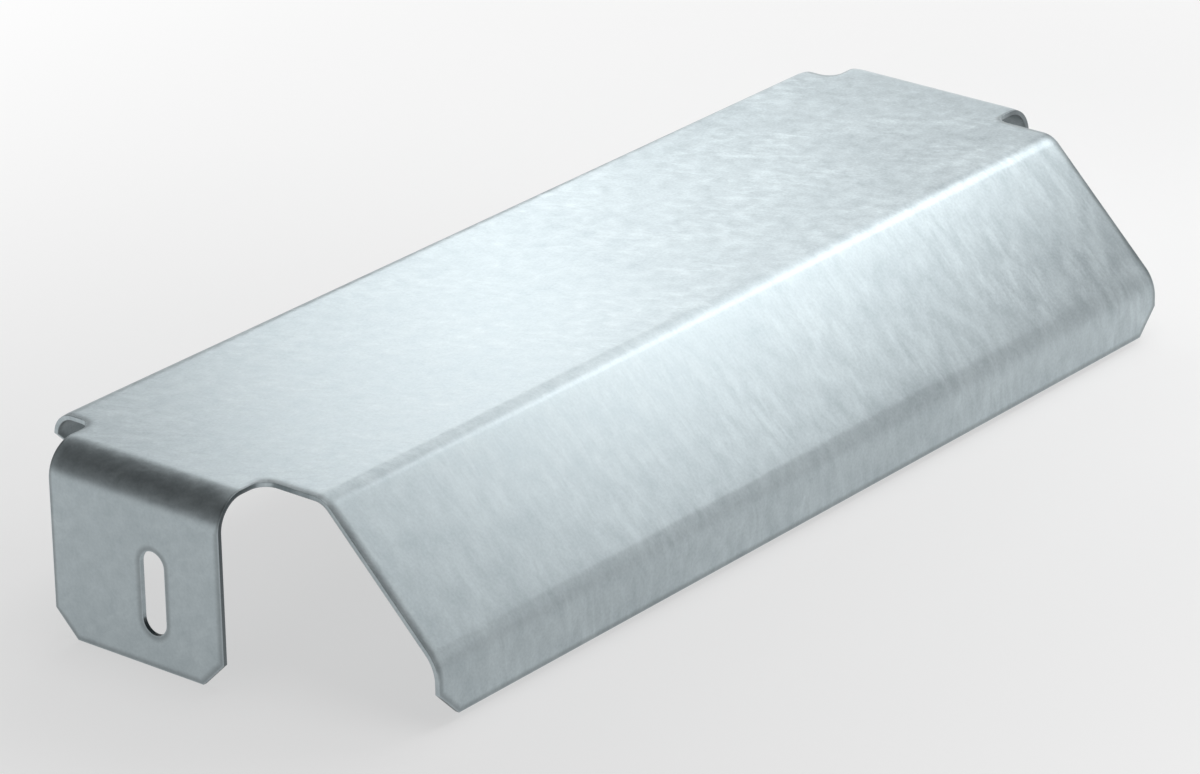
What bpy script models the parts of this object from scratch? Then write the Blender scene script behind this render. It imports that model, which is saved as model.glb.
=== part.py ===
"""Cable ladder outlet plate.

One sheet of galvanised steel. A flat blank is cut out with two slots and with rounded reliefs at
its four inner corners, and is then folded: the front slopes down and ends in an upright lip, the
rear edge is turned down to stiffen the plate, and the two ends are turned down as the flanges
that bolt between the side rails of a cable ladder.

The plate stands on its end flanges. +X runs from rail to rail, +Y to the rear and +Z up, and the
origin is the middle of the plate's footprint.
"""

import math

import bmesh
import bpy
from mathutils import Vector

# Sheet, as it is after galvanising
SHEET_THICKNESS = 0.00135
EDGE_ROUNDING = 0.0003

# Top panel: length between its cut ends, depth from the front fold line to the rear face
PANEL_LENGTH = 0.270
PANEL_DEPTH = 0.080

# Front slope and the lip below it, each measured between fold lines or to the cut edge
SLOPE_ANGLE = math.radians(45)
SLOPE_RUN = 0.0312
SLOPE_BEND_RADIUS = 0.0065
LIP_HEIGHT = 0.013
LIP_BEND_RADIUS = 0.010

# Rear flange
REAR_FLANGE_HEIGHT = 0.012
REAR_BEND_RADIUS = 0.006

# End flanges: how far they stand beyond the panel's cut ends, how far they reach below the lip,
# and how far they are set back from the front fold line and from the rear face
END_FLANGE_STANDOFF = 0.015
END_FLANGE_BELOW_LIP = 0.0013
END_FLANGE_FRONT_SETBACK = 0.0175
END_FLANGE_REAR_SETBACK = 0.0125
END_BEND_RADIUS = 0.00825

# Blank corners: outer corners cut off at 45 degrees, inner corners relieved by a round
CORNER_CUT = 0.0063
RELIEF_RADIUS = 0.004

# Upright slot in each end flange, its centre placed from the flange's front and lower edges
SLOT_WIDTH = 0.0069
SLOT_LENGTH = 0.020
SLOT_SETBACK = 0.020
SLOT_RISE = 0.018

# Fineness of bends and of round outlines
BEND_FACET = math.radians(7.5)
ROUND_FACET = math.radians(11.25)
EDGE_STEPS = 1

# Zinc coating
ZINC_COLOUR = (0.62, 0.66, 0.68, 1.0)
ZINC_ROUGHNESS = 0.45
ZINC_METALLIC = 0.85

RIGHT_ANGLE = math.pi / 2
SAME_POINT = 1e-7
SHARP_ANGLE = math.radians(30)


def clear_scene():
    """Remove whatever the file was opened with."""
    for item in list(bpy.data.objects):
        bpy.data.objects.remove(item, do_unlink=True)


def tangent_length(radius, angle):
    """Distance from a fold line to the start of its bend."""
    return radius * math.tan(angle / 2)


def facet_count(angle, facet):
    """Whole number of facets, none wider than the given one."""
    return max(1, math.ceil(round(angle / facet, 6)))


def outward(lean):
    """Unit normal of the outer face where it leans down by the given angle, as (out, up)."""
    return Vector((math.sin(lean), math.cos(lean)))


def downhill(lean):
    """Unit direction along the outer face where it leans down by the given angle."""
    return Vector((math.cos(lean), -math.sin(lean)))


def stations(turns):
    """Follow the outer face beyond the flat top, noting it at the edge of every facet.

    Each turn is a bend's angle, its outer radius and the straight run that follows it. Each
    station is the distance walked, the point reached as (out, up) and the normal there.
    """
    distance = 0.0
    point = Vector((0.0, 0.0))
    lean = 0.0
    rows = [(distance, point, outward(lean))]
    for angle, radius, run in turns:
        centre = point - radius * outward(lean)
        facets = facet_count(angle, BEND_FACET)
        for _ in range(facets):
            lean += angle / facets
            distance += radius * angle / facets
            point = centre + radius * outward(lean)
            rows.append((distance, point, outward(lean)))
        distance += run
        point = point + run * downhill(lean)
        rows.append((distance, point, outward(lean)))
    return rows


def front_stations():
    """Outer face from the flat top over the slope to the lip's lower edge."""
    lip_angle = RIGHT_ANGLE - SLOPE_ANGLE
    lip_tangent = tangent_length(LIP_BEND_RADIUS, lip_angle)
    slope_length = SLOPE_RUN / math.cos(SLOPE_ANGLE)
    slope_run = slope_length - tangent_length(SLOPE_BEND_RADIUS, SLOPE_ANGLE) - lip_tangent
    return stations([
        (SLOPE_ANGLE, SLOPE_BEND_RADIUS, slope_run),
        (lip_angle, LIP_BEND_RADIUS, LIP_HEIGHT - lip_tangent),
    ])


def flange_stations(radius, height):
    """Outer face from the flat top round a right-angled bend to a flange's lower edge."""
    return stations([(RIGHT_ANGLE, radius, height - radius)])


# Depth of the lip's lower edge below the top, and the height of the plate on its end flanges
LIP_DEPTH = SLOPE_RUN * math.tan(SLOPE_ANGLE) + LIP_HEIGHT
END_FLANGE_HEIGHT = LIP_DEPTH + END_FLANGE_BELOW_LIP

FRONT = front_stations()
REAR = flange_stations(REAR_BEND_RADIUS, REAR_FLANGE_HEIGHT)
END = flange_stations(END_BEND_RADIUS, END_FLANGE_HEIGHT)

# Limits of the flat top, where the bends begin
FLAT_FRONT = tangent_length(SLOPE_BEND_RADIUS, SLOPE_ANGLE)
FLAT_REAR = PANEL_DEPTH - REAR_BEND_RADIUS
FLAT_END = PANEL_LENGTH / 2 + END_FLANGE_STANDOFF - END_BEND_RADIUS

# Edges of the flat blank
BLANK_FRONT = FLAT_FRONT - FRONT[-1][0]
BLANK_REAR = FLAT_REAR + REAR[-1][0]
BLANK_END = FLAT_END + END[-1][0]


def arc(centre, radius, start, turn):
    """Points of an arc in the blank's plane, both ends included."""
    facets = facet_count(abs(turn), ROUND_FACET)
    points = []
    for step in range(facets + 1):
        angle = start + turn * step / facets
        points.append((centre[0] + radius * math.cos(angle), centre[1] + radius * math.sin(angle)))
    return points


def blank_half():
    """Right half of the blank's outline, from the lip's lower edge to the rear flange's."""
    end = PANEL_LENGTH / 2
    flange_front = END_FLANGE_FRONT_SETBACK
    flange_rear = PANEL_DEPTH - END_FLANGE_REAR_SETBACK
    front_relief = (end + RELIEF_RADIUS, flange_front - RELIEF_RADIUS)
    rear_relief = (end + RELIEF_RADIUS, flange_rear + RELIEF_RADIUS)
    return [
        (end - CORNER_CUT, BLANK_FRONT),
        (end, BLANK_FRONT + CORNER_CUT),
        *arc(front_relief, RELIEF_RADIUS, math.pi, -RIGHT_ANGLE),
        (BLANK_END - CORNER_CUT, flange_front),
        (BLANK_END, flange_front + CORNER_CUT),
        (BLANK_END, flange_rear - CORNER_CUT),
        (BLANK_END - CORNER_CUT, flange_rear),
        *arc(rear_relief, RELIEF_RADIUS, -RIGHT_ANGLE, -RIGHT_ANGLE),
        (end, BLANK_REAR - CORNER_CUT),
        (end - CORNER_CUT, BLANK_REAR),
    ]


def slot_outline():
    """Slot of the right end flange: two straight sides joined by round ends."""
    radius = SLOT_WIDTH / 2
    reach = SLOT_LENGTH / 2 - radius
    centre = (BLANK_END - SLOT_RISE, END_FLANGE_FRONT_SETBACK + SLOT_SETBACK)
    lower = (centre[0] + reach, centre[1])
    upper = (centre[0] - reach, centre[1])
    return [*arc(lower, radius, -RIGHT_ANGLE, math.pi), *arc(upper, radius, RIGHT_ANGLE, math.pi)]


def mirrored(points):
    """The same points on the other side of the plate's middle, in the opposite order."""
    return [(-x, y) for x, y in reversed(points)]


def add_outline(curve, points):
    """Add one closed outline to a flat curve."""
    spline = curve.splines.new("POLY")
    spline.points.add(len(points) - 1)
    for knot, (x, y) in zip(spline.points, points):
        knot.co = (x, y, 0.0, 1.0)
    spline.use_cyclic_u = True


def cut_blank():
    """Flat blank of the sheet's thickness, centred on it, with every cut edge rounded."""
    curve = bpy.data.curves.new("blank", "CURVE")
    curve.dimensions = "2D"
    curve.fill_mode = "BOTH"
    curve.extrude = SHEET_THICKNESS / 2 - EDGE_ROUNDING
    curve.bevel_depth = EDGE_ROUNDING
    curve.bevel_resolution = EDGE_STEPS
    curve.offset = -EDGE_ROUNDING
    half = blank_half()
    slot = slot_outline()
    add_outline(curve, half + mirrored(half))
    add_outline(curve, slot)
    add_outline(curve, mirrored(slot))
    blank = bpy.data.objects.new("blank", curve)
    bpy.context.collection.objects.link(blank)
    settled = blank.evaluated_get(bpy.context.evaluated_depsgraph_get())
    mesh = bpy.data.meshes.new_from_object(settled)
    bpy.data.objects.remove(blank, do_unlink=True)
    return mesh


def score(bm, axis, place):
    """Cut the blank's faces along one facet edge of a bend, without parting them."""
    bmesh.ops.bisect_plane(
        bm,
        geom=bm.verts[:] + bm.edges[:] + bm.faces[:],
        dist=SAME_POINT,
        plane_co=axis * place,
        plane_no=axis,
    )


def score_bends(bm):
    """Score the blank along every facet edge, so that each facet stays flat when folded."""
    along_x = Vector((1.0, 0.0, 0.0))
    along_y = Vector((0.0, 1.0, 0.0))
    for distance, _, _ in END[:-1]:
        score(bm, along_x, FLAT_END + distance)
        score(bm, along_x, -FLAT_END - distance)
    for distance, _, _ in FRONT[:-1]:
        score(bm, along_y, FLAT_FRONT - distance)
    for distance, _, _ in REAR[:-1]:
        score(bm, along_y, FLAT_REAR + distance)


def carried(rows, distance, depth):
    """Where a point goes that lies so far past the flat top and so deep under the outer face."""
    for near, far in zip(rows, rows[1:]):
        if distance <= far[0] or far is rows[-1]:
            break
    share = (distance - near[0]) / (far[0] - near[0])
    return (near[1] - depth * near[2]).lerp(far[1] - depth * far[2], share)


def folded(co):
    """Place of a blank's vertex on the folded plate, with the outer top face at height zero."""
    depth = SHEET_THICKNESS / 2 - co.z
    if abs(co.x) > FLAT_END:
        out, up = carried(END, abs(co.x) - FLAT_END, depth)
        return Vector((math.copysign(FLAT_END + out, co.x), co.y, up))
    if co.y < FLAT_FRONT:
        out, up = carried(FRONT, FLAT_FRONT - co.y, depth)
        return Vector((co.x, FLAT_FRONT - out, up))
    if co.y > FLAT_REAR:
        out, up = carried(REAR, co.y - FLAT_REAR, depth)
        return Vector((co.x, FLAT_REAR + out, up))
    return Vector((co.x, co.y, -depth))


def footprint_shift():
    """Shift that brings the origin to the middle of the footprint."""
    return Vector((0.0, (SLOPE_RUN - PANEL_DEPTH) / 2, END_FLANGE_HEIGHT))


def zinc():
    """Dull, pale blue-grey hot-dip coating."""
    material = bpy.data.materials.new("galvanised_steel")
    material.use_nodes = True
    shader = material.node_tree.nodes["Principled BSDF"]
    shader.inputs["Base Color"].default_value = ZINC_COLOUR
    shader.inputs["Roughness"].default_value = ZINC_ROUGHNESS
    shader.inputs["Metallic"].default_value = ZINC_METALLIC
    material.diffuse_color = ZINC_COLOUR
    return material


def build_plate():
    """Cut the blank, score it, fold it, and give it its coating."""
    mesh = cut_blank()
    mesh.name = "outlet_plate"
    bm = bmesh.new()
    bm.from_mesh(mesh)
    bmesh.ops.remove_doubles(bm, verts=bm.verts[:], dist=SAME_POINT)
    score_bends(bm)
    shift = footprint_shift()
    for vertex in bm.verts:
        vertex.co = folded(vertex.co) + shift
    bmesh.ops.recalc_face_normals(bm, faces=bm.faces[:])
    bm.to_mesh(mesh)
    bm.free()
    mesh.materials.clear()
    mesh.materials.append(zinc())
    mesh.shade_smooth()
    mesh.set_sharp_from_angle(angle=SHARP_ANGLE)
    plate = bpy.data.objects.new("outlet_plate", mesh)
    bpy.context.collection.objects.link(plate)
    return plate


clear_scene()
build_plate()
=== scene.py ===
"""Looks of the cable ladder outlet plate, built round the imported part. All sizes are in metres."""

import bmesh
import bpy
import numpy as np
from mathutils import Matrix, Vector


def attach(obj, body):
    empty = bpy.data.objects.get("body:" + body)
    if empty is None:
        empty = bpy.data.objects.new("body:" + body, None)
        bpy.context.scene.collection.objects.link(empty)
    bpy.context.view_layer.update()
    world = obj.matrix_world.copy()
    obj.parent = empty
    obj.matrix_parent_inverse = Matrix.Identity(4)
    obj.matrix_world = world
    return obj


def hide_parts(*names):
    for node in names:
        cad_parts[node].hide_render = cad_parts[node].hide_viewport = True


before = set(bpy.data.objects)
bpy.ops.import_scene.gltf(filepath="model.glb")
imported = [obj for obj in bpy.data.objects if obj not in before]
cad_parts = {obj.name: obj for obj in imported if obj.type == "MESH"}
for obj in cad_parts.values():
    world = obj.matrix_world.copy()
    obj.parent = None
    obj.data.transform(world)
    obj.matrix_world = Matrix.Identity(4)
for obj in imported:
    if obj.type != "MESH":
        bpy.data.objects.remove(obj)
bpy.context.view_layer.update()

# Outlet plate, its folds. One sheet of 1.25 mm steel, 1.35 mm with its zinc, is bent on a press
# brake: the front slopes down at 45 degrees into an upright lip, the rear edge is turned down,
# and both ends are turned down as flanges that stand between the ladder's side rails.
SHEET = 0.00135
RIGHT_ANGLE = np.pi / 2
HALF_PANEL = 0.135
PANEL_DEPTH = 0.080
SLOPE_RUN = 0.0312
LIP_HEIGHT = 0.013
SLOPE_RADIUS = 0.0065
LIP_RADIUS = 0.010
REAR_RADIUS = 0.006
REAR_HEIGHT = 0.012
END_RADIUS = 0.00825
END_STANDOFF = 0.015
END_HEIGHT = 0.0455

# Each turn is a bend's angle, its outer radius and the straight run after it
half_turn_tangent = np.tan(RIGHT_ANGLE / 4)
slope_tangent = SLOPE_RADIUS * half_turn_tangent
lip_tangent = LIP_RADIUS * half_turn_tangent
slope_straight = SLOPE_RUN * np.sqrt(2) - slope_tangent - lip_tangent
FRONT_TURNS = [
    (RIGHT_ANGLE / 2, SLOPE_RADIUS, slope_straight),
    (RIGHT_ANGLE / 2, LIP_RADIUS, LIP_HEIGHT - lip_tangent),
]
REAR_TURNS = [(RIGHT_ANGLE, REAR_RADIUS, REAR_HEIGHT - REAR_RADIUS)]
END_TURNS = [(RIGHT_ANGLE, END_RADIUS, END_HEIGHT - END_RADIUS)]

# Where the flat top ends, and the places on the flat blank of the bends and of the cut edges
FLAT_FRONT = slope_tangent
FLAT_REAR = PANEL_DEPTH - REAR_RADIUS
FLAT_END = HALF_PANEL + END_STANDOFF - END_RADIUS
SLOPE_BEND_END = FLAT_FRONT - SLOPE_RADIUS * RIGHT_ANGLE / 2
LIP_BEND_START = SLOPE_BEND_END - slope_straight
LIP_BEND_END = LIP_BEND_START - LIP_RADIUS * RIGHT_ANGLE / 2
BLANK_FRONT = LIP_BEND_END - FRONT_TURNS[-1][2]
REAR_BEND_END = FLAT_REAR + REAR_RADIUS * RIGHT_ANGLE
BLANK_REAR = REAR_BEND_END + REAR_HEIGHT - REAR_RADIUS
END_BEND_END = FLAT_END + END_RADIUS * RIGHT_ANGLE
BLANK_END = END_BEND_END + END_HEIGHT - END_RADIUS


def outward(lean):
    """Unit normal of the outer face where it leans: the lean's sine outwards, its cosine up."""
    return np.stack([np.sin(lean), np.cos(lean)], -1)


def downhill(lean):
    """Unit direction down the outer face: the lean's cosine outwards, minus its sine up."""
    return np.stack([np.cos(lean), -np.sin(lean)], -1)


def walk(distance, depth, turns):
    """Follow the outer face from the flat, then go under it, as (outwards, up).

    A bend adds its radius times the change of the face's normal, a straight run adds its length
    downhill, and the depth is taken off along the normal that is reached.
    """
    left = np.maximum(distance, 0)
    lean = np.zeros_like(left)
    place = np.zeros(left.shape + (2,))
    for angle, radius, run in turns:
        turned = np.minimum(left / radius, angle)
        place = place + radius * (outward(lean + turned) - outward(lean))
        lean = lean + turned
        left = left - turned * radius
        gone = np.minimum(left, run)
        place = place + gone[..., None] * downhill(lean)
        left = left - gone
    return place - depth[..., None] * outward(lean)


def fold(flat, depth):
    """Carry the blank round its bends: flat place clipped to the top, plus the walk past each end.

    Each of the three walks takes the depth off once, so it is given back twice.
    """
    x, y = flat[..., 0], flat[..., 1]
    depth = np.broadcast_to(depth, x.shape)
    side = walk(np.abs(x) - FLAT_END, depth, END_TURNS)
    front = walk(FLAT_FRONT - y, depth, FRONT_TURNS)
    rear = walk(y - FLAT_REAR, depth, REAR_TURNS)
    return np.stack([
        np.clip(x, -FLAT_END, FLAT_END) + np.sign(x) * side[..., 0],
        np.clip(y, FLAT_FRONT, FLAT_REAR) - front[..., 0] + rear[..., 0]
        + (SLOPE_RUN - PANEL_DEPTH) / 2,
        side[..., 1] + front[..., 1] + rear[..., 1] + 2 * depth + END_HEIGHT,
    ], -1)


# Outlet plate, its blank. The flat outline is punched out with outer corners cut off at 45 degrees,
# rounds that relieve the four inner corners, and an upright slot for an M6 bolt in each end flange.
CORNER_CUT = 0.0063
CORNER_ROUND = 0.0003
RELIEF = 0.004
FLANGE_FRONT = 0.0175
FLANGE_REAR = PANEL_DEPTH - 0.0125
SLOT_RADIUS = 0.0069 / 2
SLOT_REACH = 0.020 / 2 - SLOT_RADIUS
SLOT_X = BLANK_END - 0.018
SLOT_Y = FLANGE_FRONT + 0.020
RELIEF_FRONT = FLANGE_FRONT - RELIEF
RELIEF_REAR = FLANGE_REAR + RELIEF

# The first and last rows clear of the corner cuts, the rows across those cuts as steps in from the
# blank's edges, the end flange's first row, where the slot's ring starts and its last row lies, the
# columns in half the panel's width, and the slack with which points are compared
FIRST_FRONT_ROW = BLANK_FRONT + 0.0078
LAST_REAR_ROW = FLAT_REAR + 0.0075
FRONT_CUT_STEPS = np.array([0.0031, 0.0042, 0.0054])
REAR_CUT_STEPS = np.array([REAR_HEIGHT - REAR_RADIUS, 0.0050, 0.0040, 0.0031])
FLANGE_ROW = END_BEND_END + 0.0011
RING_START = END_BEND_END + 0.0023
LAST_SLOT_ROW = SLOT_X + SLOT_REACH + 0.0017
HALF_COLUMNS = 30
HAIR = 1e-9

# Rows of faces lie close together round the bends and further apart on the flat
flange_shares = np.linspace(0, 1, 45)
column_shares = np.linspace(-1, 1, 2 * HALF_COLUMNS + 1)
right_shares = column_shares[HALF_COLUMNS + 1:-1]
front_rows = np.concatenate([
    np.linspace(FIRST_FRONT_ROW, LIP_BEND_END, 3)[:-1],
    np.linspace(LIP_BEND_END, LIP_BEND_START, 19)[:-1],
    np.linspace(LIP_BEND_START, SLOPE_BEND_END, 19)[:-1],
    np.linspace(SLOPE_BEND_END, FLAT_FRONT, 17)[:-1],
    np.linspace(FLAT_FRONT, RELIEF_FRONT, 7)[:-1],
])
rear_rows = np.concatenate([
    np.linspace(RELIEF_REAR, FLAT_REAR, 4)[1:-1],
    np.linspace(FLAT_REAR, LAST_REAR_ROW, 15),
])
front_cut_rows = BLANK_FRONT + FRONT_CUT_STEPS
rear_cut_rows = BLANK_REAR - REAR_CUT_STEPS
end_columns = np.concatenate([
    np.linspace(HALF_PANEL + RELIEF, FLAT_END, 4)[1:-1],
    np.linspace(FLAT_END, END_BEND_END, 29),
    [FLANGE_ROW],
])
slot_columns = np.concatenate([
    np.linspace(RING_START, SLOT_X - SLOT_REACH, 9)[:-1],
    np.linspace(SLOT_X - SLOT_REACH, SLOT_X + SLOT_REACH, 9),
    [LAST_SLOT_ROW],
])
relief_turn = np.linspace(0, RIGHT_ANGLE, 13)


def heading(angle):
    """Unit vectors at an angle in the blank's plane: its cosine along, its sine across."""
    return np.stack([np.cos(angle), np.sin(angle)], -1)


def corner(point, angle, inset):
    """Round a 45 degree corner: five points on an arc whose radius shrinks by the inset."""
    radius = max(CORNER_ROUND - inset, 0.0)
    start = point - radius * half_turn_tangent * heading(angle)
    centre = start + radius * heading(angle + RIGHT_ANGLE)
    return centre + radius * heading(angle - RIGHT_ANGLE + np.linspace(0, RIGHT_ANGLE / 2, 5))


def column_of(x, ys):
    """Points at one x and several y, or the other way about."""
    x, ys = np.broadcast_arrays(x, ys)
    return np.stack([x, ys], -1)


def slide(inset):
    """How far a cut corner slides along its edge when the outline shrinks by the inset."""
    return inset * (np.sqrt(2) - 1)


def rows_before_cut(inset):
    """Rows from the round of the rear bend to the corner cut, spread evenly over what is left."""
    last = BLANK_REAR - CORNER_CUT - slide(inset)
    return np.linspace(rear_rows[-1], last, 4)[1:-1]


def cut_edge(inset):
    """Outline of the blank, shrunk by the inset, anticlockwise: each straight edge moved inwards,
    each corner cut slid along, each relief's radius grown. The left half mirrors the right one."""
    end, cut, moved = HALF_PANEL - inset, CORNER_CUT, slide(inset)
    diagonal = HALF_PANEL - cut - inset * np.sqrt(2)
    low, high = BLANK_FRONT + inset, BLANK_REAR - inset
    lip_corner = np.array([HALF_PANEL - cut - moved, low])
    rear_corner = np.array([HALF_PANEL - cut - moved, high])
    flange_low, flange_high = FLANGE_FRONT + inset, FLANGE_REAR - inset
    foot = BLANK_END - inset
    foot_low = np.array([foot, FLANGE_FRONT + cut + moved])
    foot_high = np.array([foot, FLANGE_REAR - cut - moved])
    cheek_low = np.array([BLANK_END - cut - moved, flange_low])
    cheek_high = np.array([BLANK_END - cut - moved, flange_high])
    shares = np.linspace(0, 1, 5)[1:-1, None]
    along_foot = np.linspace(0, 1, 33)[1:-1, None]
    run_x = np.concatenate([end_columns, slot_columns])
    half = np.concatenate([
        column_of(right_shares * lip_corner[0], low),
        corner(lip_corner, 0, inset),
        column_of(diagonal + FRONT_CUT_STEPS, front_cut_rows),
        corner(np.array([end, BLANK_FRONT + cut + moved]), RIGHT_ANGLE / 2, inset),
        column_of(end, front_rows),
        np.array([HALF_PANEL + RELIEF, RELIEF_FRONT])
        + (RELIEF + inset) * heading(2 * RIGHT_ANGLE - relief_turn),
        column_of(run_x, flange_low),
        corner(cheek_low, 0, inset),
        cheek_low + shares * (foot_low - cheek_low),
        corner(foot_low, RIGHT_ANGLE / 2, inset),
        foot_low + along_foot * (foot_high - foot_low),
        corner(foot_high, RIGHT_ANGLE, inset),
        foot_high + shares * (cheek_high - foot_high),
        corner(cheek_high, RIGHT_ANGLE * 1.5, inset),
        column_of(run_x[::-1], flange_high),
        np.array([HALF_PANEL + RELIEF, RELIEF_REAR])
        + (RELIEF + inset) * heading(-RIGHT_ANGLE - relief_turn),
        column_of(end, np.concatenate([rear_rows, rows_before_cut(inset)])),
        corner(np.array([end, BLANK_REAR - cut - moved]), RIGHT_ANGLE, inset),
        column_of(diagonal + REAR_CUT_STEPS, rear_cut_rows),
        corner(rear_corner, RIGHT_ANGLE * 1.5, inset),
        column_of(right_shares[::-1] * rear_corner[0], high),
    ])
    middle_low, middle_high = np.array([[0, low]]), np.array([[0, high]])
    return np.concatenate([middle_low, half, middle_high, half[::-1] * [-1, 1]])


def around_slot(inset):
    """Edge of the face round the right slot, anticlockwise, at its flange's innermost outline."""
    outline = cut_edge(inset)
    right = outline[outline[:, 0] >= RING_START - HAIR]
    root = column_of(RING_START, FLANGE_REAR - inset
                     + flange_shares[1:-1] * (FLANGE_FRONT - FLANGE_REAR + 2 * inset))
    return np.concatenate([right, root])


def slot_edge(towards, inset):
    """Stadium round the slot's core line, grown by the inset: nearest core point plus the radius
    in the direction of each of the given points."""
    core = column_of(np.clip(towards[:, 0], SLOT_X - SLOT_REACH, SLOT_X + SLOT_REACH), SLOT_Y)
    away = towards - core
    return core + (SLOT_RADIUS + inset) * away / np.linalg.norm(away, axis=1, keepdims=True)


# Outlet plate, its surface. Punching draws the outer face down a little along every cut edge and
# leaves a nearly square cut with a crisp inner rim, and hot zinc softens them all. Shade is painted
# into the zinc's colour on the inner face, the end flanges' and lip corners' cut walls and at the
# slots' feet, where shade falls under and inside the plate.
ROLL_WIDTH = 0.0024
ROLL_ANGLE = np.radians(6)
RIM_RADIUS = 0.00012
INNER_RADIUS = 0.00018
MERGE_REACH = 2e-7

# Steps from a rim to the rows that keep the face flat beside it
HOLDS = np.array([0.00008, 0.00015])

# What is left of the zinc's colour where shade is painted, the lengths over which that and the
# painted edge shade change, and the share that is added to the inset where less edge shade is
# painted
INNER_SHADE_TONE = 0.5
FLANGE_WALL_SHADE_TONE = 0.4
SLOT_FOOT_SHADE_TONE = 0.25
TONE_BLEND = 0.001
BEND_BLEND = 0.003
REAR_BLEND = 0.004
LESS_EDGE_SHADE = 1.5

# The roll's slope grows as one minus the square of the share of its width, so its depth is a cubic
roll_share = np.linspace(1, 0, 10)
roll_depths = ROLL_ANGLE * ROLL_WIDTH * (2 / 3 - roll_share + roll_share ** 3 / 3)
roll_depth = roll_depths[-1]
rim_turn = np.linspace(ROLL_ANGLE, RIGHT_ANGLE, 5)
rim_reach = RIM_RADIUS * (1 - np.sin(ROLL_ANGLE))
inner_turn = np.linspace(0, RIGHT_ANGLE, 4)
face_inset = ROLL_WIDTH + rim_reach + HOLDS[-1]
rim_profile = np.concatenate([
    column_of(ROLL_WIDTH + rim_reach + HOLDS[::-1], 0.0),
    np.stack([rim_reach + ROLL_WIDTH * roll_share, roll_depths], -1),
    np.stack([RIM_RADIUS * (1 - np.sin(rim_turn)),
              roll_depth + RIM_RADIUS * (np.cos(ROLL_ANGLE) - np.cos(rim_turn))], -1)[1:],
    np.stack([INNER_RADIUS * (1 - np.cos(inner_turn)),
              SHEET - INNER_RADIUS * (1 - np.sin(inner_turn))], -1),
    column_of(INNER_RADIUS + HOLDS, SHEET),
    [[face_inset, SHEET]],
])


def grid_faces(rows, columns, closed=False):
    """Corner numbers of a grid's four-sided faces, row by row, joined end to end where closed."""
    number = np.arange(rows * columns).reshape(rows, columns)
    if closed:
        number = np.concatenate([number, number[:, :1]], 1)
    around = [number[:-1, :-1], number[:-1, 1:], number[1:, 1:], number[1:, :-1]]
    return np.stack(around, -1).reshape(-1, len(around))


def half_width(y, inset):
    """Half the panel's width at a row: its cut end, or either corner cut if that is less."""
    diagonal = HALF_PANEL - CORNER_CUT - inset * np.sqrt(2)
    return np.minimum(HALF_PANEL - inset, diagonal + np.minimum(y - BLANK_FRONT, BLANK_REAR - y))


def face_patches(inset):
    """Flat patches that fill the blank inside its innermost outline: the panel, and for each end
    the root of its flange and the ring between the flange's edge and the slot."""
    cut = CORNER_CUT + slide(inset)
    rows = np.concatenate([
        [BLANK_FRONT + inset], front_cut_rows, [BLANK_FRONT + cut], front_rows,
        RELIEF_FRONT + flange_shares * (RELIEF_REAR - RELIEF_FRONT), rear_rows,
        rows_before_cut(inset), [BLANK_REAR - cut], rear_cut_rows, [BLANK_REAR - inset],
    ])
    panel = column_of(half_width(rows, inset)[:, None] * column_shares, rows[:, None])
    reach = RELIEF + inset
    lift = reach * np.concatenate([np.sin(relief_turn), np.ones(len(end_columns) + 1)])
    relief_columns = HALF_PANEL + RELIEF - reach * np.cos(relief_turn)
    across = np.concatenate([relief_columns, end_columns, [RING_START]])
    root = column_of(across[:, None], RELIEF_FRONT + lift[:, None]
                     + flange_shares * (RELIEF_REAR - RELIEF_FRONT - 2 * lift[:, None]))
    outer = around_slot(inset)
    inner = slot_edge(outer, inset)
    ring = inner + np.linspace(0, 1, 5)[:, None, None] * (outer - inner)
    mirror = np.array([-1, 1])
    return [
        (panel, False),
        (root, False),
        (ring, True),
        (root * mirror, False),
        (ring * mirror, True),
    ]


def ramp(values, start, end):
    """Straight ramp from 0 at the start to 1 at the end, level outside them."""
    return np.clip((values - start) / (end - start), 0, 1)


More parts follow.
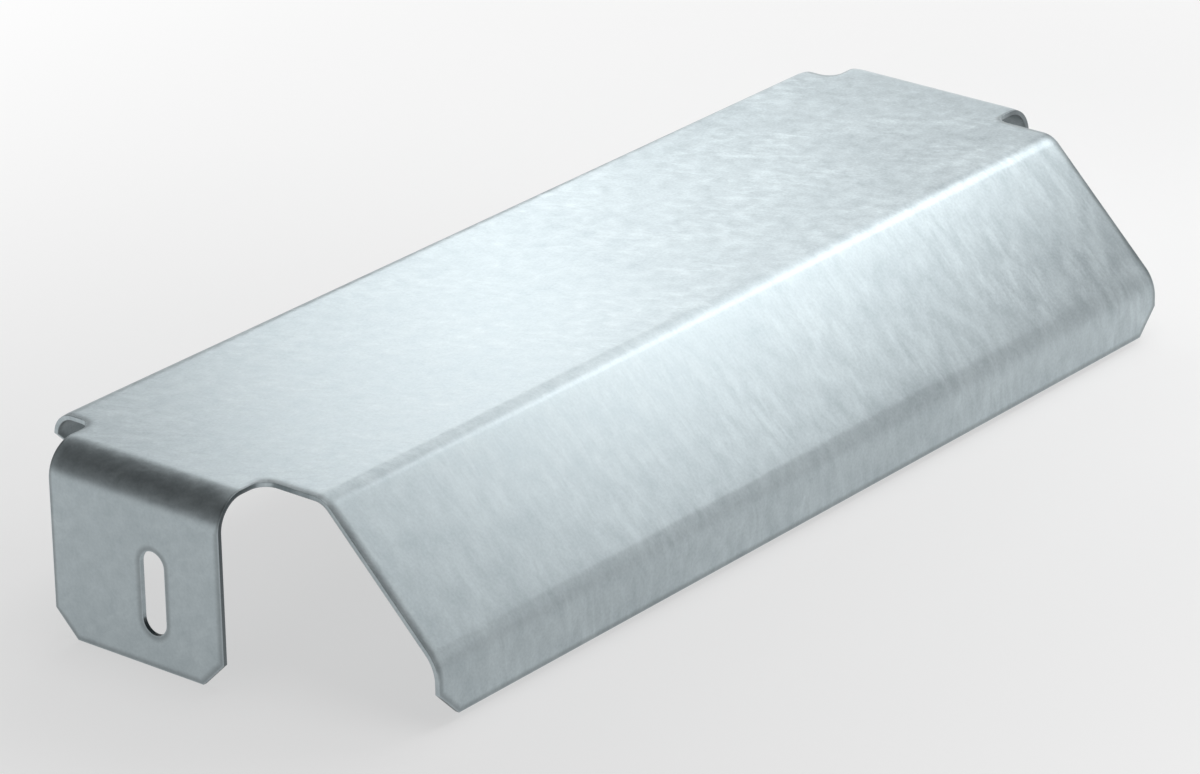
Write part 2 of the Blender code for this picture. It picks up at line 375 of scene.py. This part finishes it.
def plate_surface():
    """Blank place, depth, inset, painted shade tone and faces of the whole skin: both faces, and the
    rim profile carried along the outline and round both slots. The tone is painted shade: it goes
    from 1 on the outer face to the wall's on a cut wall, and on to the inner face's. The inset is
    counted larger on the end bends and along the end flanges' rear edges, so that less edge shade is
    painted there."""
    points, depths, insets, tones, faces, count = [], [], [], [], [], 0

    def add(flat, depth, inset, closed, wall=1.0):
        nonlocal count
        on_wall = ramp(depth, roll_depth, roll_depth + RIM_RADIUS)
        inside = ramp(depth, SHEET - INNER_RADIUS, SHEET)
        tone = (1 + on_wall * (wall - 1)) * (1 - inside) + inside * INNER_SHADE_TONE
        tones.append(np.broadcast_to(tone, flat.shape[:2]).ravel())
        faces.append(grid_faces(flat.shape[0], flat.shape[1], closed) + count)
        points.append(flat.reshape(-1, 2))
        depths.append(np.broadcast_to(depth, flat.shape[:2]).ravel())
        insets.append(np.broadcast_to(inset, flat.shape[:2]).ravel())
        count += flat.shape[0] * flat.shape[1]

    for patch, closed in face_patches(face_inset):
        add(patch, 0.0, face_inset, closed)
        add(patch, SHEET, face_inset, closed)
    reach, depth = rim_profile[:, :1], rim_profile[:, 1:]
    slot_guide = around_slot(face_inset)
    rim = np.stack([cut_edge(i) for i in rim_profile[:, 0]])
    slot = np.stack([slot_edge(slot_guide, i) for i in rim_profile[:, 0]])
    along, across = np.abs(rim[0, :, 0]), rim[0, :, 1]
    # Painted shade on the cut walls: darker on the end flanges' and lip corners' walls and at the
    # slots' feet
    cut_top = BLANK_FRONT + CORNER_CUT
    low_wall = ramp(across, cut_top, cut_top - TONE_BLEND)
    flange_wall = ramp(along, HALF_PANEL - TONE_BLEND, FLAT_END)
    rim_wall = 1 + (FLANGE_WALL_SHADE_TONE - 1) * np.maximum(low_wall, flange_wall)
    slot_foot = SLOT_X + SLOT_REACH
    foot_wall = ramp(slot[0, :, 0], slot_foot - TONE_BLEND / 2, slot_foot + TONE_BLEND)
    slot_wall = 1 + (SLOT_FOOT_SHADE_TONE - 1) * foot_wall
    # Less edge shade is painted on the end bends and along the end flanges' rear edges
    on_bend = ramp(along, HALF_PANEL, HALF_PANEL + RELIEF)
    on_bend = on_bend * ramp(along, END_BEND_END, END_BEND_END - BEND_BLEND)
    flange_rear = flange_wall * ramp(across, FLANGE_REAR - REAR_BLEND, FLANGE_REAR)
    add(rim, depth, reach * (1 + LESS_EDGE_SHADE * np.maximum(on_bend, flange_rear)), True, rim_wall)
    add(slot, depth, reach, True, slot_wall)
    add(slot * [-1, 1], depth, reach, True, slot_wall)
    return (np.concatenate(points), np.concatenate(depths), np.concatenate(insets),
            np.concatenate(tones), np.concatenate(faces))


flat, depth, inset, tones, faces = plate_surface()
skin = bpy.data.meshes.new("outlet_plate_skin")
skin.from_pydata(fold(flat, depth), [], faces)
blank_place = skin.attributes.new("blank", "FLOAT_VECTOR", "POINT")
blank_place.data.foreach_set("vector", np.column_stack([flat, inset]).astype(np.float32).ravel())
# Painted shade per point: 1 on the outer face, darker on the inner face and on the shaded cut walls
painted_shade = skin.attributes.new("painted_shade", "FLOAT", "POINT")
painted_shade.data.foreach_set("value", tones.astype(np.float32))
shell = bmesh.new()
shell.from_mesh(skin)
bmesh.ops.remove_doubles(shell, verts=shell.verts[:], dist=MERGE_REACH)
bmesh.ops.recalc_face_normals(shell, faces=shell.faces[:])
shell.to_mesh(skin)
shell.free()
skin.shade_smooth()
plate = bpy.data.objects.new("galvanised_plate", skin)
bpy.context.scene.collection.objects.link(plate)

# Zinc. Light feathery strokes in clusters, soft clouds and a fine grain, all laid out on the
# blank, so that they run round the bends. The strokes lean on the top and run straight down the
# front, as the sheet drained.
DULL_ZINC = (0.354, 0.412, 0.438, 1.0)
LIGHT_ZINC = (0.619, 0.689, 0.713, 1.0)
zinc = bpy.data.materials.new("hot_dip_zinc")
zinc.use_nodes = True
tree = zinc.node_tree
shader = tree.nodes["Principled BSDF"]
shader.inputs["Metallic"].default_value = 1.0

blank = tree.nodes.new("ShaderNodeAttribute")
blank.attribute_name = "blank"
parts = tree.nodes.new("ShaderNodeSeparateXYZ")
tree.links.new(blank.outputs["Vector"], parts.inputs["Vector"])

# Drainage coordinates: along the plate plus a share of the way in from the front fold, on the top
# only, and across it, drawn out where the sheet hung steeply, in front of that fold
STROKE_LEAN = 0.4
STEEP_SHARE = 0.6
over_top = tree.nodes.new("ShaderNodeMath")
over_top.operation = "MAXIMUM"
over_top.inputs[1].default_value = 0.0
leant = tree.nodes.new("ShaderNodeMath")
leant.operation = "MULTIPLY_ADD"
leant.inputs[1].default_value = STROKE_LEAN
steep = tree.nodes.new("ShaderNodeMath")
steep.operation = "MULTIPLY"
steep.inputs[1].default_value = STEEP_SHARE
evened = tree.nodes.new("ShaderNodeMath")
evened.operation = "MULTIPLY_ADD"
evened.inputs[1].default_value = 1 - STEEP_SHARE
drained = tree.nodes.new("ShaderNodeCombineXYZ")
tree.links.new(parts.outputs["Y"], over_top.inputs[0])
tree.links.new(over_top.outputs["Value"], leant.inputs[0])
tree.links.new(parts.outputs["X"], leant.inputs[2])
tree.links.new(leant.outputs["Value"], drained.inputs["X"])
tree.links.new(parts.outputs["Y"], steep.inputs[0])
tree.links.new(over_top.outputs["Value"], evened.inputs[0])
tree.links.new(steep.outputs["Value"], evened.inputs[2])
tree.links.new(evened.outputs["Value"], drained.inputs["Y"])

# Strokes: noise drawn out along the drainage, cut off to separate marks, kept in clusters
STROKE_WIDTH, STROKE_LENGTH = 0.0025, 0.0054
STROKE_START, STROKE_FULL = 0.40, 0.68
CLUSTER_SIZE = 0.022
CLUSTER_START, CLUSTER_FULL = 0.38, 0.62
BETWEEN_CLUSTERS = 0.15
stretched = tree.nodes.new("ShaderNodeVectorMath")
stretched.operation = "MULTIPLY"
stretched.inputs[1].default_value = (1 / STROKE_WIDTH, 1 / STROKE_LENGTH, 1.0)
stroke_noise = tree.nodes.new("ShaderNodeTexNoise")
stroke_noise.noise_dimensions = "2D"
stroke_noise.inputs["Scale"].default_value = 1.0
stroke_noise.inputs["Detail"].default_value = 2.0
stroke_noise.inputs["Roughness"].default_value = 0.5
stroke_noise.inputs["Distortion"].default_value = 0.4
stroke = tree.nodes.new("ShaderNodeMapRange")
stroke.interpolation_type = "SMOOTHSTEP"
stroke.inputs["From Min"].default_value = STROKE_START
stroke.inputs["From Max"].default_value = STROKE_FULL
cluster_noise = tree.nodes.new("ShaderNodeTexNoise")
cluster_noise.noise_dimensions = "2D"
cluster_noise.inputs["Scale"].default_value = 1 / CLUSTER_SIZE
cluster_noise.inputs["Detail"].default_value = 1.0
cluster = tree.nodes.new("ShaderNodeMapRange")
cluster.interpolation_type = "SMOOTHSTEP"
cluster.inputs["From Min"].default_value = CLUSTER_START
cluster.inputs["From Max"].default_value = CLUSTER_FULL
cluster.inputs["To Min"].default_value = BETWEEN_CLUSTERS
clustered = tree.nodes.new("ShaderNodeMath")
clustered.operation = "MULTIPLY"
tree.links.new(drained.outputs["Vector"], stretched.inputs[0])
tree.links.new(stretched.outputs["Vector"], stroke_noise.inputs["Vector"])
tree.links.new(stroke_noise.outputs["Fac"], stroke.inputs["Value"])
tree.links.new(drained.outputs["Vector"], cluster_noise.inputs["Vector"])
tree.links.new(cluster_noise.outputs["Fac"], cluster.inputs["Value"])
tree.links.new(stroke.outputs["Result"], clustered.inputs[0])
tree.links.new(cluster.outputs["Result"], clustered.inputs[1])

# Mottling of a few millimetres, clouds of a few centimetres and the grain of the coating. The
# mottling is drawn out down the front too, but doesn't lean on the top.
MOTTLE_SIZE = 0.0044
CLOUD_SIZE = 0.030
GRAIN_SIZE = 0.0007
mottle = tree.nodes.new("ShaderNodeTexNoise")
mottle.noise_dimensions = "2D"
mottle.inputs["Scale"].default_value = 1 / MOTTLE_SIZE
mottle.inputs["Detail"].default_value = 4.0
mottle.inputs["Roughness"].default_value = 0.6
mottle.inputs["Distortion"].default_value = 0.25
cloud = tree.nodes.new("ShaderNodeTexNoise")
cloud.noise_dimensions = "2D"
cloud.inputs["Scale"].default_value = 1 / CLOUD_SIZE
cloud.inputs["Detail"].default_value = 2.0
grain = tree.nodes.new("ShaderNodeTexNoise")
grain.noise_dimensions = "2D"
grain.inputs["Scale"].default_value = 1 / GRAIN_SIZE
grain.inputs["Detail"].default_value = 1.0
hung = tree.nodes.new("ShaderNodeCombineXYZ")
tree.links.new(parts.outputs["X"], hung.inputs["X"])
tree.links.new(evened.outputs["Value"], hung.inputs["Y"])
tree.links.new(hung.outputs["Vector"], mottle.inputs["Vector"])
tree.links.new(blank.outputs["Vector"], cloud.inputs["Vector"])
tree.links.new(blank.outputs["Vector"], grain.inputs["Vector"])

# Tone from 0, dull zinc, to 1, light zinc. It starts from a base, and each layer adds its share.
TONE_BASE = -0.56
MOTTLE_SHARE = 1.10
CLOUD_SHARE = 0.35
GRAIN_SHARE = 0.55
STROKE_SHARE = 0.28
tone_mottle = tree.nodes.new("ShaderNodeMath")
tone_mottle.operation = "MULTIPLY_ADD"
tone_mottle.inputs[1].default_value = MOTTLE_SHARE
tone_mottle.inputs[2].default_value = TONE_BASE
tone_cloud = tree.nodes.new("ShaderNodeMath")
tone_cloud.operation = "MULTIPLY_ADD"
tone_cloud.inputs[1].default_value = CLOUD_SHARE
tone_grain = tree.nodes.new("ShaderNodeMath")
tone_grain.operation = "MULTIPLY_ADD"
tone_grain.inputs[1].default_value = GRAIN_SHARE
tone = tree.nodes.new("ShaderNodeMath")
tone.operation = "MULTIPLY_ADD"
tone.inputs[1].default_value = STROKE_SHARE
tree.links.new(mottle.outputs["Fac"], tone_mottle.inputs[0])
tree.links.new(cloud.outputs["Fac"], tone_cloud.inputs[0])
tree.links.new(tone_mottle.outputs["Value"], tone_cloud.inputs[2])
tree.links.new(grain.outputs["Fac"], tone_grain.inputs[0])
tree.links.new(tone_cloud.outputs["Value"], tone_grain.inputs[2])
tree.links.new(clustered.outputs["Value"], tone.inputs[0])
tree.links.new(tone_grain.outputs["Value"], tone.inputs[2])

# The pattern is calmer down the front, and calmest on the end flanges: the tone keeps a share of
# its distance from the middle tone
MIDDLE_TONE = 0.5
FRONT_CALM = 0.72
FLANGE_CALM = 0.5
from_middle = tree.nodes.new("ShaderNodeMath")
from_middle.operation = "ABSOLUTE"
to_flange = tree.nodes.new("ShaderNodeMapRange")
to_flange.inputs["From Min"].default_value = float(HALF_PANEL)
to_flange.inputs["From Max"].default_value = float(END_BEND_END)
to_flange.inputs["To Min"].default_value = 1.0
to_flange.inputs["To Max"].default_value = FLANGE_CALM
to_top = tree.nodes.new("ShaderNodeMapRange")
to_top.inputs["From Min"].default_value = float(SLOPE_BEND_END)
to_top.inputs["From Max"].default_value = float(FLAT_FRONT)
to_top.inputs["To Min"].default_value = FRONT_CALM
to_top.inputs["To Max"].default_value = 1.0
vigour = tree.nodes.new("ShaderNodeMath")
vigour.operation = "MULTIPLY"
off_middle = tree.nodes.new("ShaderNodeMath")
off_middle.operation = "SUBTRACT"
off_middle.inputs[1].default_value = MIDDLE_TONE
calmed = tree.nodes.new("ShaderNodeMath")
calmed.operation = "MULTIPLY_ADD"
calmed.inputs[2].default_value = MIDDLE_TONE
tree.links.new(parts.outputs["X"], from_middle.inputs[0])
tree.links.new(from_middle.outputs["Value"], to_flange.inputs["Value"])
tree.links.new(parts.outputs["Y"], to_top.inputs["Value"])
tree.links.new(to_flange.outputs["Result"], vigour.inputs[0])
tree.links.new(to_top.outputs["Result"], vigour.inputs[1])
tree.links.new(tone.outputs["Value"], off_middle.inputs[0])
tree.links.new(off_middle.outputs["Value"], calmed.inputs[0])
tree.links.new(vigour.outputs["Value"], calmed.inputs[1])

# A Mix node's sockets 6 and 7 take its colours, and its output 2 gives the mixed one
shade = tree.nodes.new("ShaderNodeMix")
shade.data_type = "RGBA"
shade.inputs[6].default_value = DULL_ZINC
shade.inputs[7].default_value = LIGHT_ZINC
tree.links.new(calmed.outputs["Value"], shade.inputs[0])

# Painted shade towards a cut edge, darkening the outer face along it; the rim itself has none. The
# tones stand at shares of the edge's width. The painted shade attribute, 1 on the outer face, comes
# after them.
EDGE_WIDTH = 0.0023
EDGE_TONES = [(0.0, 1.0), (0.10, 0.79), (0.22, 0.66), (0.40, 0.74), (0.60, 0.90), (0.78, 1.0)]
from_edge = tree.nodes.new("ShaderNodeMath")
from_edge.operation = "DIVIDE"
from_edge.inputs[1].default_value = EDGE_WIDTH
edge_shade = tree.nodes.new("ShaderNodeValToRGB")
for at, _ in EDGE_TONES[1:-1]:
    edge_shade.color_ramp.elements.new(at)
for stop, (at, grey) in zip(edge_shade.color_ramp.elements, EDGE_TONES):
    stop.position = at
    stop.color = (grey, grey, grey, 1.0)
edge_shaded = tree.nodes.new("ShaderNodeVectorMath")
edge_shaded.operation = "MULTIPLY"
tree.links.new(parts.outputs["Z"], from_edge.inputs[0])
tree.links.new(from_edge.outputs["Value"], edge_shade.inputs["Fac"])
tree.links.new(shade.outputs[2], edge_shaded.inputs[0])
tree.links.new(edge_shade.outputs["Color"], edge_shaded.inputs[1])
# The painted shade of the inner face and cut walls multiplies the zinc's colour
painted_shade_node = tree.nodes.new("ShaderNodeAttribute")
painted_shade_node.attribute_name = "painted_shade"
finished = tree.nodes.new("ShaderNodeVectorMath")
finished.operation = "SCALE"
tree.links.new(edge_shaded.outputs["Vector"], finished.inputs[0])
tree.links.new(painted_shade_node.outputs["Fac"], finished.inputs["Scale"])
tree.links.new(finished.outputs["Vector"], shader.inputs["Base Color"])

# Light zinc is a little rougher than dull zinc
DULL_TONE, DULL_ROUGHNESS = 0.2, 0.38
LIGHT_TONE, LIGHT_ROUGHNESS = 0.8, 0.46
gloss = tree.nodes.new("ShaderNodeMapRange")
gloss.inputs["From Min"].default_value = DULL_TONE
gloss.inputs["From Max"].default_value = LIGHT_TONE
gloss.inputs["To Min"].default_value = DULL_ROUGHNESS
gloss.inputs["To Max"].default_value = LIGHT_ROUGHNESS
tree.links.new(calmed.outputs["Value"], gloss.inputs["Value"])
tree.links.new(gloss.outputs["Result"], shader.inputs["Roughness"])

# Height of the coating in metres, from the mottling and the grain
MOTTLE_HEIGHT = 0.000010
GRAIN_HEIGHT = 0.000004
mottled_height = tree.nodes.new("ShaderNodeMath")
mottled_height.operation = "MULTIPLY"
mottled_height.inputs[1].default_value = MOTTLE_HEIGHT
height = tree.nodes.new("ShaderNodeMath")
height.operation = "MULTIPLY_ADD"
height.inputs[1].default_value = GRAIN_HEIGHT
raised = tree.nodes.new("ShaderNodeBump")
raised.inputs["Strength"].default_value = 1.0
raised.inputs["Distance"].default_value = 1.0
tree.links.new(mottle.outputs["Fac"], mottled_height.inputs[0])
tree.links.new(grain.outputs["Fac"], height.inputs[0])
tree.links.new(mottled_height.outputs["Value"], height.inputs[2])
tree.links.new(height.outputs["Value"], raised.inputs["Height"])
tree.links.new(raised.outputs["Normal"], shader.inputs["Normal"])
skin.materials.append(zinc)
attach(plate, "root")
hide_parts("outlet_plate")

# Studio floor. Pale matt paper, partly lit and shaded by the lamps round the plate, and fading to
# plain white further off. Camera, glossy and transmission rays all see the same white.
FLOOR_HALF = 3.0
FLOOR_DROP = 0.0002
PAPER_COLOUR = (0.85, 0.85, 0.85, 1.0)
PAPER_ROUGHNESS = 0.9
HALF_FOOTPRINT = (0.15, 0.0556, 0.0)
FADE_LENGTH = 0.35
WHITE_AT_PLATE = 0.57
corners = np.array([[-1, -1], [1, -1], [1, 1], [-1, 1]]) * FLOOR_HALF
floor_mesh = bpy.data.meshes.new("studio_floor")
floor_points = np.column_stack([corners, np.full(len(corners), -FLOOR_DROP)])
floor_mesh.from_pydata(floor_points.tolist(), [], [(0, 1, 2, 3)])
floor = bpy.data.objects.new("studio_floor", floor_mesh)
bpy.context.scene.collection.objects.link(floor)

paper = bpy.data.materials.new("pale_paper")
paper.use_nodes = True
tree = paper.node_tree
matt = tree.nodes["Principled BSDF"]
matt.inputs["Base Color"].default_value = PAPER_COLOUR
matt.inputs["Roughness"].default_value = PAPER_ROUGHNESS
place = tree.nodes.new("ShaderNodeTexCoord")
across = tree.nodes.new("ShaderNodeVectorMath")
across.operation = "ABSOLUTE"
beyond = tree.nodes.new("ShaderNodeVectorMath")
beyond.operation = "SUBTRACT"
beyond.inputs[1].default_value = HALF_FOOTPRINT
outside = tree.nodes.new("ShaderNodeVectorMath")
outside.operation = "MAXIMUM"
outside.inputs[1].default_value = (0.0, 0.0, 0.0)
gap = tree.nodes.new("ShaderNodeVectorMath")
gap.operation = "LENGTH"
fade = tree.nodes.new("ShaderNodeMapRange")
fade.interpolation_type = "SMOOTHSTEP"
fade.inputs["From Min"].default_value = 0.0
fade.inputs["From Max"].default_value = FADE_LENGTH
fade.inputs["To Min"].default_value = WHITE_AT_PLATE
fade.inputs["To Max"].default_value = 1.0
rays = tree.nodes.new("ShaderNodeLightPath")
sight = tree.nodes.new("ShaderNodeMath")
sight.operation = "MAXIMUM"
seen = tree.nodes.new("ShaderNodeMath")
seen.operation = "MAXIMUM"
share = tree.nodes.new("ShaderNodeMath")
share.operation = "MULTIPLY"
white = tree.nodes.new("ShaderNodeEmission")
blend = tree.nodes.new("ShaderNodeMixShader")
tree.links.new(place.outputs["Object"], across.inputs[0])
tree.links.new(across.outputs["Vector"], beyond.inputs[0])
tree.links.new(beyond.outputs["Vector"], outside.inputs[0])
tree.links.new(outside.outputs["Vector"], gap.inputs[0])
tree.links.new(gap.outputs["Value"], fade.inputs["Value"])
tree.links.new(rays.outputs["Is Camera Ray"], sight.inputs[0])
tree.links.new(rays.outputs["Is Glossy Ray"], sight.inputs[1])
tree.links.new(sight.outputs["Value"], seen.inputs[0])
tree.links.new(rays.outputs["Is Transmission Ray"], seen.inputs[1])
tree.links.new(seen.outputs["Value"], share.inputs[0])
tree.links.new(fade.outputs["Result"], share.inputs[1])
tree.links.new(share.outputs["Value"], blend.inputs["Fac"])
tree.links.new(matt.outputs["BSDF"], blend.inputs[1])
tree.links.new(white.outputs["Emission"], blend.inputs[2])
tree.links.new(blend.outputs["Shader"], tree.nodes["Material Output"].inputs["Surface"])
floor_mesh.materials.append(paper)

# Studio room, nearly dark, so that the zinc shows little else than the floor and the soft boxes
ROOM_COLOUR = (0.08, 0.08, 0.08, 1.0)
world = bpy.data.worlds.new("studio_room")
bpy.context.scene.world = world
world.use_nodes = True
world.node_tree.nodes["Background"].inputs["Color"].default_value = ROOM_COLOUR

# Soft boxes. Each set hangs round its own aim: a wide disc overhead, wide discs and strips far
# off, and narrow discs close by that give the plate its bright middle. The camera never sees them.

# A set's shape, width, height, distance and aim, then each box's azimuth, elevation and watts
LAMP_SETS = [
    ("DISK", 0.50, 0.50, 0.80, (0.000, 0.000, 0.030), [(0, 89, 1.200)]),
    ("DISK", 0.36, 0.36, 0.65, (0.000, 0.000, 0.030), [
        (120, 12, 0.316), (30, 12, 0.213), (180, 14, 0.200), (60, 12, 0.185), (60, 52, 0.123),
        (-90, 12, 0.120), (150, 12, 0.111), (0, 30, 0.100), (-150, 12, 0.096)]),
    ("DISK", 0.18, 0.18, 0.65, (0.000, 0.000, 0.030), [(120, 50, 0.153), (88, 42, 0.114)]),
    ("RECTANGLE", 0.30, 0.08, 0.65, (0.000, 0.000, 0.030), [
        (150, 32, 0.200), (30, 28, 0.127), (120, 32, 0.061)]),
    ("DISK", 0.14, 0.14, 0.32, (0.020, 0.000, 0.040), [
        (55, 45, 0.180), (145, 30, 0.073), (100, 45, 0.066), (130, 30, 0.044), (100, 60, 0.034)]),
    ("DISK", 0.10, 0.10, 0.20, (0.070, -0.020, 0.035), [(75, 38, 0.054)]),
]
for shape, width, tall, reach, aim, boxes in LAMP_SETS:
    for azimuth, elevation, watts in boxes:
        turn, climb = np.radians([azimuth, elevation])
        away = Vector([np.sin(turn) * np.cos(climb), -np.cos(turn) * np.cos(climb), np.sin(climb)])
        glow = bpy.data.lights.new("soft_box", "AREA")
        glow.shape = shape
        glow.size = width
        if shape == "RECTANGLE":
            glow.size_y = tall
        glow.energy = watts
        lamp = bpy.data.objects.new("soft_box", glow)
        lamp.location = Vector(aim) + reach * away
        lamp.rotation_euler = (-away).to_track_quat("-Z", "Y").to_euler()
        lamp.visible_camera = False
        bpy.context.scene.collection.objects.link(lamp)

# Camera, as far off and as long as the picture's perspective says. It looks towards the middle of
# the front fold, and is set aside a little to place the plate in the frame.

# Distances are in metres, the focus and the image width in pixels, the sensor's width in millimetres
AZIMUTH, ELEVATION, ROLL = np.radians([-50.576, 23.345, -1.068])
DISTANCE, SHIFT_RIGHT, SHIFT_UP = 1.39563, -0.02596, -0.01908
FOCUS = 6088.22
IMAGE_WIDTH = 1200
SENSOR_WIDTH = 36.0
FAR_CLIP = 20.0
level = np.array([np.cos(AZIMUTH), np.sin(AZIMUTH), 0.0])
outwards = np.array([np.sin(AZIMUTH), -np.cos(AZIMUTH), 0.0])
back = np.cos(ELEVATION) * outwards + np.sin(ELEVATION) * np.array([0.0, 0.0, 1.0])
rise = np.cross(back, level)
right = np.cos(ROLL) * level + np.sin(ROLL) * rise
up = np.cos(ROLL) * rise - np.sin(ROLL) * level
fold_line = np.array([0.0, (SLOPE_RUN - PANEL_DEPTH) / 2, END_HEIGHT])
eye = fold_line + DISTANCE * back + SHIFT_RIGHT * right + SHIFT_UP * up
lens = bpy.data.cameras.new("studio_camera")
lens.sensor_width = SENSOR_WIDTH
lens.lens = FOCUS / IMAGE_WIDTH * SENSOR_WIDTH
lens.clip_end = FAR_CLIP
camera = bpy.data.objects.new("studio_camera", lens)
bpy.context.scene.collection.objects.link(camera)
placed = np.eye(4)
placed[:3, :3] = np.column_stack([right, up, back])
placed[:3, 3] = eye
camera.matrix_world = Matrix(placed.tolist())
bpy.context.scene.camera = camera
bpy.context.scene.view_settings.view_transform = "Standard"
